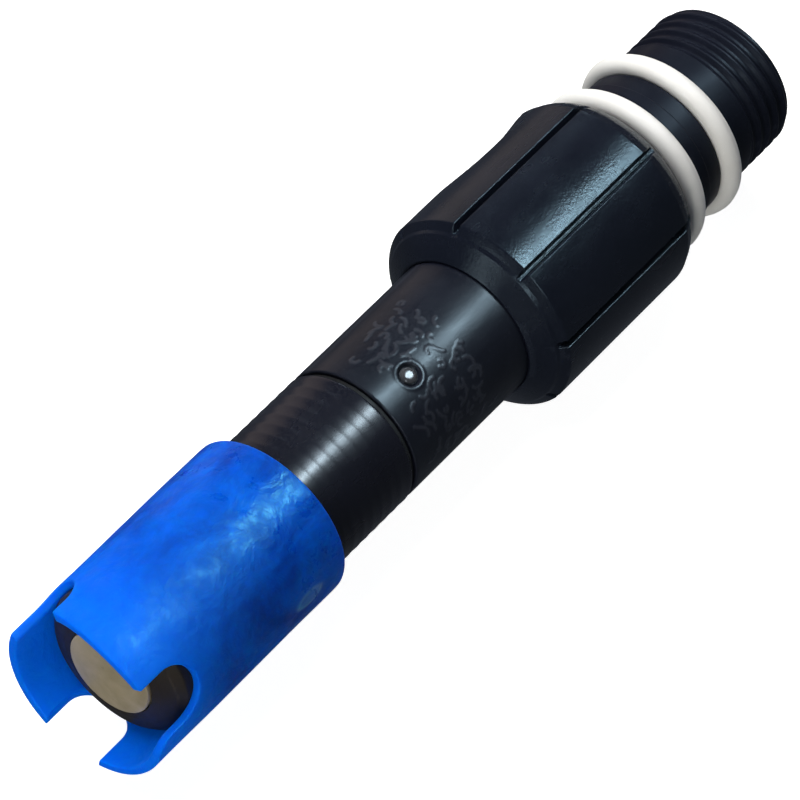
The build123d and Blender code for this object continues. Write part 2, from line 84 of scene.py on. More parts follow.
CAMERA_AT = Vector((-0.4518, -0.2949, 0.5462))
TO_CAMERA = Vector((-0.5256, -0.4031, 0.7491)).normalized()
CAMERA_RIGHT = Vector((0.6085, -0.7935, 0.0)).normalized()
FOCAL_LENGTH = 271.9
SENSOR_WIDTH = 36.0

camera_data = bpy.data.cameras.new("camera")
camera_data.lens = FOCAL_LENGTH
camera_data.sensor_width = SENSOR_WIDTH
camera_data.clip_start = 0.01
camera_data.clip_end = 20.0
camera = bpy.data.objects.new("camera", camera_data)
bpy.context.scene.collection.objects.link(camera)
camera_up = TO_CAMERA.cross(CAMERA_RIGHT)
turn = Matrix((CAMERA_RIGHT, camera_up, TO_CAMERA)).transposed().to_4x4()
camera.matrix_world = Matrix.Translation(CAMERA_AT) @ turn
bpy.context.scene.camera = camera


# --- Mesh helpers ---------------------------------------------------------------------------------

def span(node):
    """First station, last station and outer radius of a CAD node, in millimetres."""
    low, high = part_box(node)
    return -high.x / MM, -low.x / MM, (high.y - low.y) / 2 / MM


def rounded(corners, steps=6):
    """Closed outline of (station, radius) points from (station, radius, fillet) corners."""
    points = []
    count = len(corners)
    for i, (a, r, fillet) in enumerate(corners):
        here = np.array((a, r), float)
        if fillet <= 0:
            points.append(here)
            continue
        back = np.array(corners[i - 1][:2], float) - here
        ahead = np.array(corners[(i + 1) % count][:2], float) - here
        back_length, ahead_length = np.linalg.norm(back), np.linalg.norm(ahead)
        back, ahead = back / back_length, ahead / ahead_length
        half = math.acos(max(-1.0, min(1.0, float(back @ ahead)))) / 2
        reach = min(fillet / math.tan(half), 0.49 * back_length, 0.49 * ahead_length)
        radius = reach * math.tan(half)
        centre = here + (back + ahead) / np.linalg.norm(back + ahead) * radius / math.sin(half)
        start, end = here + back * reach - centre, here + ahead * reach - centre
        swing = math.acos(max(-1.0, min(1.0, float(start @ end) / (radius * radius))))
        sign = 1.0 if start[0] * end[1] - start[1] * end[0] > 0 else -1.0
        for k in range(steps + 1):
            t = sign * swing * k / steps
            c, s = math.cos(t), math.sin(t)
            spoke = np.array((c * start[0] - s * start[1], s * start[0] + c * start[1]))
            points.append(centre + spoke)
    return np.array(points)


LONG_SIDE = 0.6
CORNER_POINT = 0.1


def divided(points, step, fine_where=None, fine_step=None):
    """The same closed outline with no side longer than step, or fine_step where fine_where says so.

    Long sides also get a point close to each end, which keeps the shading of the corners narrow.
    """
    made = []
    for here, ahead in zip(points, np.roll(points, -1, axis=0)):
        middle = (here + ahead) / 2
        length = np.linalg.norm(ahead - here)
        limit = fine_step if fine_where is not None and fine_where(*middle) else step
        parts = max(1, math.ceil(length / limit))
        shares = [k / parts for k in range(parts)]
        if length > LONG_SIDE and limit == step:
            shares = sorted(shares + [CORNER_POINT / length, 1 - CORNER_POINT / length])
        made += [here + (ahead - here) * share for share in shares]
    return np.array(made)


def grid_object(name, x, y, z, closed_rows=True, poles=None):
    """Smooth mesh object from grids of coordinates in millimetres.

    Columns always close on themselves. Rows do too, or else poles gives the two points that close
    the first and the last row.
    """
    rows, columns = x.shape
    vertices = np.stack((x, y, z), axis=-1).reshape(-1, 3) * MM
    row = np.arange(rows if closed_rows else rows - 1)[:, None]
    column = np.arange(columns)[None, :]
    next_row, next_column = (row + 1) % rows, (column + 1) % columns
    faces = np.stack(
        (
            row * columns + column,
            next_row * columns + column,
            next_row * columns + next_column,
            row * columns + next_column,
        ),
        axis=-1,
    ).reshape(-1, 4)
    first, second, third = (vertices[faces[:, k]] for k in range(3))
    fourth = vertices[faces[:, 3]]
    volume = np.einsum("ij,ij->i", first, np.cross(second, third)).sum()
    volume += np.einsum("ij,ij->i", first, np.cross(third, fourth)).sum()
    faces = faces.tolist()
    vertices = vertices.tolist()
    if poles is not None:
        ends = ((poles[0], 0, True), (poles[1], (rows - 1) * columns, False))
        for pole, first_in_row, flip in ends:
            vertices.append([value * MM for value in pole])
            for k in range(columns):
                fan = [first_in_row + k, first_in_row + (k + 1) % columns, len(vertices) - 1]
                faces.append(fan if flip else fan[::-1])
    if volume < 0:
        faces = [face[::-1] for face in faces]
    mesh = bpy.data.meshes.new(name)
    mesh.from_pydata(vertices, [], faces)
    mesh.shade_smooth()
    mesh.update()
    made = bpy.data.objects.new(name, mesh)
    bpy.context.scene.collection.objects.link(made)
    return made


def turned_grid(outline, angles):
    """Station, radius and angle of every point of a body of revolution."""
    angle = np.arange(angles) * TURN / angles if isinstance(angles, int) else np.asarray(angles)
    station = np.repeat(outline[:, 0:1], len(angle), axis=1)
    radius = np.repeat(outline[:, 1:2], len(angle), axis=1)
    around = np.repeat(angle[None, :], len(outline), axis=0)
    return station, radius, around


def turned(name, outline, angles=192, shape=None, poles=None):
    """Body of revolution about X. shape(station, radius, angle) gives the radii where they vary."""
    station, radius, around = turned_grid(outline, angles)
    if shape is not None:
        radius = shape(station, radius, around)
    y, z = radius * np.cos(around), radius * np.sin(around)
    return grid_object(name, -station, y, z, closed_rows=poles is None, poles=poles)


def mark_relief(piece, raised):
    """Stores how far each point stands on a raised mark, for the material to make it paler."""
    layer = piece.data.attributes.new("raised", "FLOAT", "POINT")
    layer.data.foreach_set("value", raised.astype(np.float32).ravel())


def place(piece, node, body, material):
    """Puts a finished piece in the frame in place of a CAD node."""
    piece.data.materials.append(material)
    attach(piece, body)
    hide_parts(node)
    return piece


def smooth_step(low, high, value):
    t = np.clip((value - low) / (high - low), 0, 1)
    return t * t * (3 - 2 * t)


def angle_between(angle, centre):
    """Signed difference of two angles in radians, between -pi and pi."""
    return (angle - centre + math.pi) % TURN - math.pi


# --- Materials ------------------------------------------------------------------------------------

EDGE_FROM, EDGE_TO = 0.515, 0.56  # pointiness at which edge wear, and the guard's painted edge highlight, start and are complete


class Shader:
    """Short way to build a node material around one Principled shader."""

    def __init__(self, name):
        self.material = bpy.data.materials.new(name)
        self.material.use_nodes = True
        self.tree = self.material.node_tree
        self.bsdf = self.tree.nodes["Principled BSDF"]
        self.where = self.tree.nodes.new("ShaderNodeTexCoord").outputs["Object"]

    def node(self, kind, **settings):
        made = self.tree.nodes.new(kind)
        for key, value in settings.items():
            setattr(made, key, value)
        return made

    def link(self, output, socket):
        self.tree.links.new(output, socket)

    def noise(self, scale, detail=4.0, roughness=0.55, distortion=0.0, stretch=None):
        source = self.where
        if stretch is not None:
            mapping = self.node("ShaderNodeMapping")
            mapping.inputs["Scale"].default_value = stretch
            self.link(self.where, mapping.inputs["Vector"])
            source = mapping.outputs["Vector"]
        made = self.node("ShaderNodeTexNoise")
        made.inputs["Scale"].default_value = scale
        made.inputs["Detail"].default_value = detail
        made.inputs["Roughness"].default_value = roughness
        made.inputs["Distortion"].default_value = distortion
        self.link(source, made.inputs["Vector"])
        return made.outputs["Fac"]

    def ramp(self, value, stops):
        made = self.node("ShaderNodeValToRGB")
        elements = made.color_ramp.elements
        while len(elements) < len(stops):
            elements.new(0.5)
        for element, (position, colour) in zip(elements, stops):
            element.position = position
            element.color = (*colour, 1.0)
        self.link(value, made.inputs["Fac"])
        return made.outputs["Color"]

    def spread(self, value, low, high, from_low=0.3, from_high=0.7):
        made = self.node("ShaderNodeMapRange")
        made.inputs["From Min"].default_value = from_low
        made.inputs["From Max"].default_value = from_high
        made.inputs["To Min"].default_value = low
        made.inputs["To Max"].default_value = high
        self.link(value, made.inputs["Value"])
        return made.outputs["Result"]

    def mix(self, factor, first, second):
        made = self.node("ShaderNodeMix", data_type="RGBA")
        self.link(factor, made.inputs["Factor"])
        for socket, value in ((made.inputs["A"], first), (made.inputs["B"], second)):
            if isinstance(value, tuple):
                socket.default_value = (*value, 1.0)
            else:
                self.link(value, socket)
        return made.outputs["Result"]

    def bump(self, height, strength, distance, normal=None):
        made = self.node("ShaderNodeBump")
        made.inputs["Strength"].default_value = strength
        made.inputs["Distance"].default_value = distance
        self.link(height, made.inputs["Height"])
        if normal is not None:
            self.link(normal, made.inputs["Normal"])
        return made.outputs["Normal"]

    def edge_wear_and_highlight(self, most):
        """0 on flat and hollow places and most on sharp outer edges."""
        edges = self.node("ShaderNodeNewGeometry").outputs["Pointiness"]
        return self.spread(edges, 0.0, most, EDGE_FROM, EDGE_TO)

    def raised(self, most):
        """most on the raised marks that mark_relief stored, and 0 elsewhere."""
        made = self.node("ShaderNodeAttribute", attribute_name="raised")
        return self.spread(made.outputs["Fac"], 0.0, most, 0.0, 1.0)

    def from_inlet(self, start, end, most=1.0):
        """0 at one station and most at another, in millimetres along the axis."""
        split = self.node("ShaderNodeSeparateXYZ")
        self.link(self.where, split.inputs["Vector"])
        return self.spread(split.outputs["X"], 0.0, most, -start * MM, -end * MM)

    def finish(self, colour, rough, normal):
        self.link(colour, self.bsdf.inputs["Base Color"])
        self.link(rough, self.bsdf.inputs["Roughness"])
        self.link(normal, self.bsdf.inputs["Normal"])
        return self.material


def moulded(name, dark, light, worn, rough, grain, grain_depth, tint=(1, 1, 1), gloss=0.5):
    """Moulded plastic: cloudy colour, fine grain, scuffs and paler edges."""
    s = Shader(name)
    clouds = s.noise(90.0, detail=5.0)
    colour = s.ramp(clouds, [(0.30, dark), (0.72, light)])
    specks = s.noise(2600.0, detail=2.0)
    colour = s.mix(s.spread(specks, 0.0, 0.35, 0.60, 0.78), colour, worn)
    colour = s.mix(s.edge_wear_and_highlight(0.3), colour, worn)
    colour = s.mix(s.raised(0.6), colour, worn)
    rub = s.noise(420.0, detail=3.0, roughness=0.5, stretch=(0.35, 1.0, 1.0))
    roughness = s.spread(rub, rough[0], rough[1])
    fine = s.noise(grain, detail=3.0, roughness=0.6)
    normal = s.bump(fine, 1.0, grain_depth)
    waves = s.noise(160.0, detail=2.0)
    normal = s.bump(waves, 1.0, 0.00004, normal)
    s.bsdf.inputs["Specular Tint"].default_value = (*tint, 1.0)
    s.bsdf.inputs["Specular IOR Level"].default_value = gloss
    return s.finish(colour, roughness, normal)


def waxy(name, dark, light, pale_blue_and_lit):
    """Slightly translucent waxy plastic: mottled tone and gloss, with painted light towards the
    thin lips: a paler colour and a faint blue glow near the outlet end, and pale sharp edges, in
    place of light through the thin prongs and of edge highlights.
    """
    s = Shader(name)
    clouds = s.noise(170.0, detail=7.0, roughness=0.62, distortion=0.7, stretch=(0.6, 1.0, 1.0))
    colour = s.ramp(clouds, [(0.36, dark), (0.64, light)])
    blotch = s.noise(520.0, detail=5.0, roughness=0.6)
    colour = s.mix(s.spread(blotch, 0.0, 0.45, 0.52, 0.72), colour, pale_blue_and_lit)
    # painted light: the colour pales towards the outlet end, in place of light passing through the
    # thin prongs
    colour = s.mix(s.from_inlet(108.0, 124.0), colour, pale_blue_and_lit)
    # painted highlight: the guard's sharp edges are painted in the pale blue
    colour = s.mix(s.edge_wear_and_highlight(0.8), colour, pale_blue_and_lit)
    colour = s.mix(s.raised(0.9), colour, (0.12, 0.30, 0.66))
    patches = s.noise(330.0, detail=5.0, roughness=0.6, distortion=0.3)
    roughness = s.spread(patches, 0.22, 0.50, 0.36, 0.66)
    duller = s.node("ShaderNodeMath", operation="MULTIPLY_ADD", use_clamp=True)
    s.link(s.from_inlet(101.0, 108.0), duller.inputs[0])
    duller.inputs[1].default_value = 0.22
    s.link(roughness, duller.inputs[2])
    dents = s.noise(240.0, detail=4.0, roughness=0.55, distortion=0.4)
    normal = s.bump(dents, 1.0, 0.00036)
    normal = s.bump(s.noise(900.0, detail=4.0), 1.0, 0.00004, normal)
    s.bsdf.inputs["Specular Tint"].default_value = (0.24, 0.94, 1.0, 1.0)
    s.bsdf.inputs["Specular IOR Level"].default_value = 0.62
    s.bsdf.inputs["Subsurface Weight"].default_value = 0.8
    s.bsdf.inputs["Subsurface Radius"].default_value = (0.1, 0.6, 1.0)
    s.bsdf.inputs["Subsurface Scale"].default_value = 0.0022
    # painted glow: the prongs near the outlet end emit a faint blue light, in place of light
    # passing through them
    s.bsdf.inputs["Emission Color"].default_value = (0.0, 0.22, 1.0, 1.0)
    s.link(s.from_inlet(114.0, 124.0, 0.17), s.bsdf.inputs["Emission Strength"])
    return s.finish(colour, duller.outputs["Value"], normal)


black_grip = moulded(
    "black_grip", (0.0034, 0.0044, 0.0090), (0.0066, 0.0080, 0.0150), (0.018, 0.022, 0.034),
    (0.20, 0.30), 2600.0, 0.000034, tint=(0.72, 0.92, 1.0),
)
black_smooth = moulded(
    "black_smooth", (0.0034, 0.0042, 0.0090), (0.0066, 0.0078, 0.0150), (0.018, 0.021, 0.032),
    (0.36, 0.50), 1500.0, 0.000006, tint=(0.80, 0.92, 1.0), gloss=0.2,
)
black_barrel = moulded(
    "black_barrel", (0.0036, 0.0044, 0.0090), (0.0070, 0.0082, 0.0150), (0.026, 0.029, 0.040),
    (0.30, 0.42), 1500.0, 0.000008, tint=(0.86, 0.96, 1.0),
)
black_sleeve = moulded(
    "black_sleeve", (0.0036, 0.0042, 0.0088), (0.0066, 0.0076, 0.0140), (0.020, 0.022, 0.030),
    (0.23, 0.29), 1500.0, 0.000005,
)
nose_plastic = moulded(
    "nose_plastic", (0.012, 0.010, 0.009), (0.026, 0.022, 0.018), (0.060, 0.050, 0.040),
    (0.36, 0.52), 1800.0, 0.000006, tint=(1.0, 0.82, 0.62), gloss=0.35,
)
pin_plastic = moulded(
    "pin_plastic", (0.030, 0.032, 0.038), (0.060, 0.064, 0.072), (0.10, 0.105, 0.115),
    (0.16, 0.24), 1800.0, 0.000004,
)
# the third colour is the pale blue of the random blotches and of the painted light at the outlet
# end and on the edges
blue_wax = waxy(
    "blue_wax", (0.000, 0.036, 0.350), (0.000, 0.106, 0.640), (0.000, 0.104, 0.720)
)
white_rubber = moulded(
    "white_rubber", (0.76, 0.75, 0.72), (0.86, 0.86, 0.84), (0.90, 0.90, 0.89),
    (0.50, 0.66), 1400.0, 0.000012,
)
black_rubber = moulded(
    "black_rubber", (0.0030, 0.0030, 0.0032), (0.0060, 0.0060, 0.0064), (0.012, 0.012, 0.012),
    (0.60, 0.80), 1800.0, 0.000012,
)
acetal = moulded(
    "acetal", (0.66, 0.65, 0.60), (0.76, 0.75, 0.71), (0.82, 0.81, 0.78),
    (0.30, 0.45), 1800.0, 0.000006,
)
strainer_plastic = moulded(
    "strainer_plastic", (0.020, 0.034, 0.028), (0.034, 0.054, 0.044), (0.07, 0.09, 0.08),
    (0.35, 0.50), 1800.0, 0.000008,
)
silicone = moulded(
    "silicone", (0.42, 0.20, 0.10), (0.54, 0.28, 0.15), (0.62, 0.38, 0.24),
    (0.45, 0.60), 1500.0, 0.000010,
)


def satin_metal(name, dark, light, rough, brush, metallic):
    """Satin metal or metallised plate: soft cloudy tone, fine turned lines and faint stains."""
    s = Shader(name)
    colour = s.ramp(s.noise(260.0, detail=5.0, distortion=0.4), [(0.25, dark), (0.75, light)])
    stain = s.noise(700.0, detail=6.0, roughness=0.7)
    stained = tuple(0.55 * value for value in dark)
    colour = s.mix(s.spread(stain, 0.0, 0.6, 0.62, 0.80), colour, stained)
    roughness = s.spread(s.noise(900.0, detail=4.0), rough[0], rough[1])
    lines = s.noise(brush, detail=2.0, stretch=(1.0, 0.05, 1.0))
    normal = s.bump(lines, 1.0, 0.000003)
    s.bsdf.inputs["Metallic"].default_value = metallic
    return s.finish(colour, roughness, normal)


disc_metal = satin_metal(
    "disc_metal", (0.35, 0.285, 0.165), (0.52, 0.44, 0.29), (0.36, 0.50), 6000.0, 0.25
)
steel = satin_metal(
    "steel", (0.42, 0.42, 0.43), (0.60, 0.60, 0.62), (0.18, 0.32), 4000.0, 0.9
)


# --- Inlet shank ----------------------------------------------------------------------------------

PITCH = 1.814
THREAD_DEPTH = 0.50
THREAD_END = 8.9
THREAD_FADE = 1.2
THREAD_FLOOR_HALF = 0.20
THREAD_FLANK = 0.62
SHANK_R = 10.4775
OUTSIDE_R = 8.5  # a point of the shank further out than this is on its outside
INLET_BORE_R = 7.0
INLET_BORE_END = 6.0
STRAINER_BORE_R = 7.6
COLLAR_START = 17.6
COLLAR_R = 10.75
SEAL_FLOOR_GAP = 0.02
BOX_MARGIN = 0.002  # keeps the grip's lands inside the CAD's box
CLOSE_ROWS_END = 9.6  # the rows are close together where the thread is

_, plug_end, plug_r = span("inlet_shank")
seal_low, seal_high, seal_outer_r = span("shank_seal_outer")
inner_seal_low, _, inner_seal_r = span("shank_seal_inner")
grip_start, grip_end, land_r = span("fluted_grip")
land_r -= BOX_MARGIN
fixed_start, _, fixed_r = span("metering_disc_fixed")
seal_section = seal_high - seal_low


def thread(station, radius, angle):
    """Cuts the helical groove into the shank's tip."""
    phase = (station / PITCH + angle / TURN) % 1.0
    off = np.abs(phase - 0.5) * PITCH
    flank = np.clip((off - THREAD_FLOOR_HALF) / THREAD_FLANK, 0, 1)
    flank = 0.6 * flank + 0.4 * smooth_step(0.0, 1.0, flank)
    fade = 1 - smooth_step(THREAD_END - THREAD_FADE, THREAD_END, station)
    cut = SHANK_R - THREAD_DEPTH * (1 - flank) * fade
    outside = (station < THREAD_END) & (radius > OUTSIDE_R)
    return np.where(outside, np.minimum(radius, cut), radius)


outer_groove = (seal_low - 0.1, seal_high + 0.1)
outer_floor_r = seal_outer_r - seal_section - SEAL_FLOOR_GAP
inner_groove = (inner_seal_low - 0.1, grip_start)
inner_floor_r = inner_seal_r - seal_section - SEAL_FLOOR_GAP
shank_outline = rounded(
    [
        (0.0, INLET_BORE_R, 0.25),
        (0.0, SHANK_R - THREAD_DEPTH, 0.15),
        (1.1, SHANK_R, 0.2),
        (outer_groove[0], SHANK_R, 0.15),
        (outer_groove[0], outer_floor_r, 0.15),
        (outer_groove[1], outer_floor_r, 0.15),
        (outer_groove[1], SHANK_R, 0.15),
        (COLLAR_START, SHANK_R, 0.1),
        (COLLAR_START + 0.2, COLLAR_R, 0.1),
        (inner_groove[0], COLLAR_R, 0.15),
        (inner_groove[0], inner_floor_r, 0.15),
        (inner_groove[1], inner_floor_r, 0.1),
        (inner_groove[1], plug_r, 0.1),
        (plug_end, plug_r, 0.2),
        (plug_end, fixed_r + FIT_GAP, 0.1),
        (fixed_start, fixed_r + FIT_GAP, 0.1),
        (fixed_start, STRAINER_BORE_R, 0.1),
        (INLET_BORE_END, STRAINER_BORE_R, 0.1),
        (INLET_BORE_END, INLET_BORE_R, 0.1),
    ]
)
shank_outline = divided(
    shank_outline, 1.5, lambda a, r: a < CLOSE_ROWS_END and r > OUTSIDE_R, 0.11
)
shank = turned("threaded_shank", shank_outline, 256, thread)
place(shank, "inlet_shank", "inlet_body", black_smooth)


# --- White ring seals -----------------------------------------------------------------------------

MOULD_LINE = 0.03


def ring_seal(name, node, body, material, wobble, seed):
    """Round ring with a faint mould line at its outside and a little unevenness."""
    low, high, outer_r = span(node)
    section = (high - low) / 2
    t = np.arange(36) * TURN / 36
    line = MOULD_LINE * np.exp(-((angle_between(t, 0.0) / 0.12) ** 2))
    outline = np.stack(
        (
            (low + high) / 2 + (section - 0.01) * np.sin(t),
            outer_r - MOULD_LINE - section + (section + line) * np.cos(t),
        ),
        axis=-1,
    )

    def uneven(station, radius, angle):
        wave = np.sin(3 * angle + seed) + 0.6 * np.sin(7 * angle + 2 * seed)
        return radius - wobble * (1 + wave / 1.6) / 2

    return place(turned(name, outline, 224, uneven), node, body, material)


# --- Fluted grip ----------------------------------------------------------------------------------

GRIP_BASE_R = 12.9
LAND_COUNT = 8
GROOVE_FIRST = math.radians(120.6)
LAND_PITCH = TURN / LAND_COUNT
GROOVE_HALF = 0.30
LAND_HOLLOW = 0.1
LANDS_START = 24.9
LANDS_END = 52.25
SADDLE_ANGLE = math.radians(26.3)
SADDLE_STATION = 35.3
SADDLE_DEPTH = 0.8
SADDLE_R = 52.0
SADDLE_BLEND = 0.16

barrel_start, barrel_end, flange_r = span("barrel")
BARREL_R = 9.76
BARREL_GAP = 0.08


def fluted(station, radius, angle):
    """Cuts the narrow grooves between the lands, and lets each land sink slightly in its middle."""
    off = (angle - GROOVE_FIRST + LAND_PITCH / 2) % LAND_PITCH - LAND_PITCH / 2
    off = np.abs(off) * GRIP_BASE_R
    depth = 1 - smooth_step(GROOVE_HALF - 0.12, GROOVE_HALF + 0.22, off)
    on_lands = (radius > GRIP_BASE_R) & (station > LANDS_START) & (station < LANDS_END)
    made = np.where(on_lands, radius - (radius - GRIP_BASE_R) * depth, radius)
    hollow = 1 - (1 - off / (LAND_PITCH * GRIP_BASE_R / 2)) ** 2
    sunk = LAND_HOLLOW * hollow * smooth_step(13.2, 14.0, radius)
    made = made - np.where(on_lands, sunk, 0.0)
    across = np.cos(angle_between(angle, SADDLE_ANGLE))
    reach = np.sqrt(np.maximum(SADDLE_R**2 - (station - SADDLE_STATION) ** 2, 1.0))
    flat = (land_r - SADDLE_DEPTH + SADDLE_R - reach) / np.maximum(across, 0.3)
    excess = np.maximum(made - flat, 0.0) * (across > 0.3)
    return made - np.where(on_lands, np.minimum(excess, excess**2 / SADDLE_BLEND), 0.0)


grip_outline = rounded(
    [
        (grip_start, plug_r + FIT_GAP, 0.05),
        (grip_start, 11.6, 0.15),
        (LANDS_START, GRIP_BASE_R, 0.15),
        (LANDS_START + 1.0, 13.55, 0.6),
        (LANDS_START + 2.1, land_r, 0.6),
        (grip_end - 3.1, land_r, 0.3),
        (grip_end - 2.3, GRIP_BASE_R + 0.1, 0.2),
        (grip_end - 1.9, GRIP_BASE_R - 0.15, 0.3),
        (grip_end - 0.1, 10.25, 0.2),
        (grip_end, 10.1, 0.1),
        (grip_end, BARREL_R + BARREL_GAP, 0.05),
        (grip_end - 3.5, BARREL_R + BARREL_GAP, 0.1),
        (grip_end - 3.5, plug_r + FIT_GAP, 0.1),
    ],
    steps=8,
)
grip_outline = divided(grip_outline, 1.0, lambda a, r: r > 12.2, 0.4)
near_groove = np.arange(-0.9, 0.9, 0.05)
on_land = np.arange(0.9, LAND_PITCH * GRIP_BASE_R - 0.9, 0.34)
one_land = GROOVE_FIRST + np.concatenate((near_groove, on_land)) / GRIP_BASE_R
grip_angles = np.concatenate([one_land + k * LAND_PITCH for k in range(LAND_COUNT)])
grip = turned("grip", grip_outline, grip_angles, fluted)
place(grip, "fluted_grip", "inlet_body", black_grip)


# --- Barrel with generic relief marks -------------------------------------------------------------

pin_low, pin_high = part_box("lock_pin")
pin_station = -(pin_low.x + pin_high.x) / 2 / MM
pin_r = (pin_high.x - pin_low.x) / 2 / MM
pin_angle = math.atan2(pin_low.z + pin_high.z, pin_low.y + pin_high.y)
PIN_POCKET_DEPTH = 0.5
PIN_RIM_HEIGHT = 0.06
FLANGE_END = 45.2
LUG_END = 48.3
LUG_FROM, LUG_TO = 45.3, 48.25
LUG_START = math.radians(2.0)
LUG_ARC = math.radians(38.0)
LUG_GAP = 0.1
MARK_HEIGHT = 0.045
MARK_HALF_WIDTH = 0.26
MARK_PATCHES = ((70.0, 113.0), (126.0, 186.0))  # first and last angle in degrees
MARKS_FIRST, MARKS_LAST = 62.6, 74.6
PIN_CLEARING = 2.6
PLAIN_END = 56.0  # the grip covers the barrel up to about here


def stroke(u, v, points, half_width):
    """Height from 0 to 1 of a rounded raised line through the points, in the unrolled surface."""
    best = np.full(u.shape, 1e9)
    for (u0, v0), (u1, v1) in zip(points, points[1:]):
        du, dv = u1 - u0, v1 - v0
        length = du * du + dv * dv
        t = np.clip(((u - u0) * du + (v - v0) * dv) / max(length, 1e-9), 0, 1)
        best = np.minimum(best, np.hypot(u - u0 - t * du, v - v0 - t * dv))
    return 1 - smooth_step(half_width * 0.55, half_width * 1.25, best)


def mark_lines():
    """Generic worn relief round the pin: short wavy strokes in two patches, with no lettering."""
    draw = np.random.default_rng(21)
    middle_v, half_v = (MARKS_FIRST + MARKS_LAST) / 2, (MARKS_LAST - MARKS_FIRST) / 2
    lines = []
    for first, last in MARK_PATCHES:
        low, high = math.radians(first) * BARREL_R, math.radians(last) * BARREL_R
        for u in np.arange(low, high, 1.45):
            for v in np.arange(MARKS_FIRST, MARKS_LAST, 1.55):
                at_u, at_v = u + draw.uniform(-0.5, 0.5), v + draw.uniform(-0.5, 0.5)
                heading, bend = draw.uniform(0.0, TURN), draw.uniform(-1.3, 1.3)
                size, keep = draw.uniform(0.30, 0.52), draw.uniform(0.0, 1.0)
                edge = abs(at_v - middle_v) / half_v + abs(at_u - (low + high) / 2) / (high - low)
                from_pin = math.hypot(at_u - pin_angle * BARREL_R, at_v - pin_station)
                if keep < edge - 0.75 or from_pin < PIN_CLEARING:
                    continue
                points = [(at_u, at_v)]
                for k in range(4):
                    at_u += size * math.cos(heading)
                    at_v += size * math.sin(heading)
                    heading += bend
                    points.append((at_u, at_v))
                lines.append(points)
    return lines


def barrel_seen(station, radius):
    """True on the part of the barrel's outside that shows between the grip and the sleeve."""
    outside = radius > BARREL_R - 0.05
    return outside & (station > PLAIN_END) & (station < barrel_end - 0.3)


def barrel_relief(station, radius, angle):
    """1 on the raised strokes of the barrel and 0 elsewhere."""
    seen = barrel_seen(station, radius)
    u = angle * BARREL_R
    raised = np.zeros(radius.shape)
    for points in mark_lines():
        low_u, low_v = np.min(points, axis=0) - 1
        high_u, high_v = np.max(points, axis=0) + 1
        close = seen & (u > low_u) & (u < high_u) & (station > low_v) & (station < high_v)
        drawn = stroke(u[close], station[close], points, MARK_HALF_WIDTH)
        raised[close] = np.maximum(raised[close], drawn)
    return raised


def barrel_shape(station, radius, angle):
    """Relief marks, the pin's counterbore and the stop lug."""
    made = radius + MARK_HEIGHT * barrel_relief(station, radius, angle)
    from_pin = np.hypot(angle_between(angle, pin_angle) * BARREL_R, station - pin_station)
    pocket = 1 - smooth_step(pin_r + 0.12, pin_r + 0.42, from_pin)
    rim = np.exp(-(((from_pin - pin_r - 0.75) / 0.22) ** 2))
    dressed = made - PIN_POCKET_DEPTH * pocket + PIN_RIM_HEIGHT * rim
    made = np.where(barrel_seen(station, radius), dressed, made)
    from_lug = np.abs(angle_between(angle, LUG_START + LUG_ARC / 2))
    in_lug = 1 - smooth_step(LUG_ARC / 2 - 0.02, LUG_ARC / 2, from_lug)
    lug = (station > LUG_FROM) & (station < LUG_TO)
    lug &= np.abs(radius - BARREL_R) < 0.05
    return np.where(lug, made + (flange_r - LUG_GAP - BARREL_R) * in_lug, made)


def seal_groove(seal, outside_r, floor_r):
    """Corners of the groove round a ring seal, whose span is given."""
    low, high = seal[0] - SEAL_SIDE_GAP, seal[1] + SEAL_SIDE_GAP
    return [
        (low, outside_r, 0.05),
        (low, floor_r, 0.1),
        (high, floor_r, 0.1),
        (high, outside_r, 0.05),
    ]


BARREL_BORE_R = 8.2
FINE_STEP = 0.13  # between points where the marks are
MARKS_START, MARKS_END, MARKS_INNER_R = 58.0, 76.5, 9.5
FINE_FROM, FINE_TO = math.radians(60), math.radians(186)
_, turning_end, turning_r = span("metering_disc_turning")
barrel_corners = [(barrel_start, turning_r + FIT_GAP, 0.05), (barrel_start, flange_r, 0.2)]
for seal in (span("barrel_seal_inner"), span("barrel_seal_outer")):
    barrel_corners += seal_groove(seal, flange_r, flange_r - 1.48)
barrel_corners += [
    (FLANGE_END, flange_r, 0.1),
    (FLANGE_END, BARREL_R, 0.1),
    (LUG_END, BARREL_R, 0.0),
    (PLAIN_END, BARREL_R, 0.0),
    (barrel_end, BARREL_R, 0.28),
    (barrel_end, BARREL_BORE_R, 0.1),
    (turning_end + FIT_GAP, BARREL_BORE_R, 0.1),
    (turning_end + FIT_GAP, turning_r + FIT_GAP, 0.1),
]
barrel_outline = divided(
    rounded(barrel_corners),
    1.5,
    lambda a, r: MARKS_START < a < MARKS_END and r > MARKS_INNER_R,
    FINE_STEP,
)
barrel_angles = np.concatenate(
    (
        np.arange(FINE_FROM, FINE_TO, FINE_STEP / BARREL_R),
        np.arange(FINE_TO, FINE_FROM + TURN, math.radians(1.3)),
    )
)
barrel = turned("barrel_body", barrel_outline, barrel_angles, barrel_shape)
mark_relief(barrel, barrel_relief(*turned_grid(barrel_outline, barrel_angles)))
place(barrel, "barrel", "barrel", black_barrel)


def radial_button(name, outline, angle, station, columns=48):
    """Turned piece whose axis points away from the emitter's. Outline: (height, own radius)."""
    around = np.arange(columns) * TURN / columns
    height = np.repeat(outline[:, 0:1], columns, axis=1)
    own = np.repeat(outline[:, 1:2], columns, axis=1)
    along, across = own * np.cos(around), own * np.sin(around)
    x = -station + along
    y = height * math.cos(angle) - across * math.sin(angle)
    z = height * math.sin(angle) + across * math.cos(angle)
    first, last = outline[0, 0], outline[-1, 0]
    ends = [(-station, h * math.cos(angle), h * math.sin(angle)) for h in (first, last)]
    return grid_object(name, x, y, z, closed_rows=False, poles=ends)


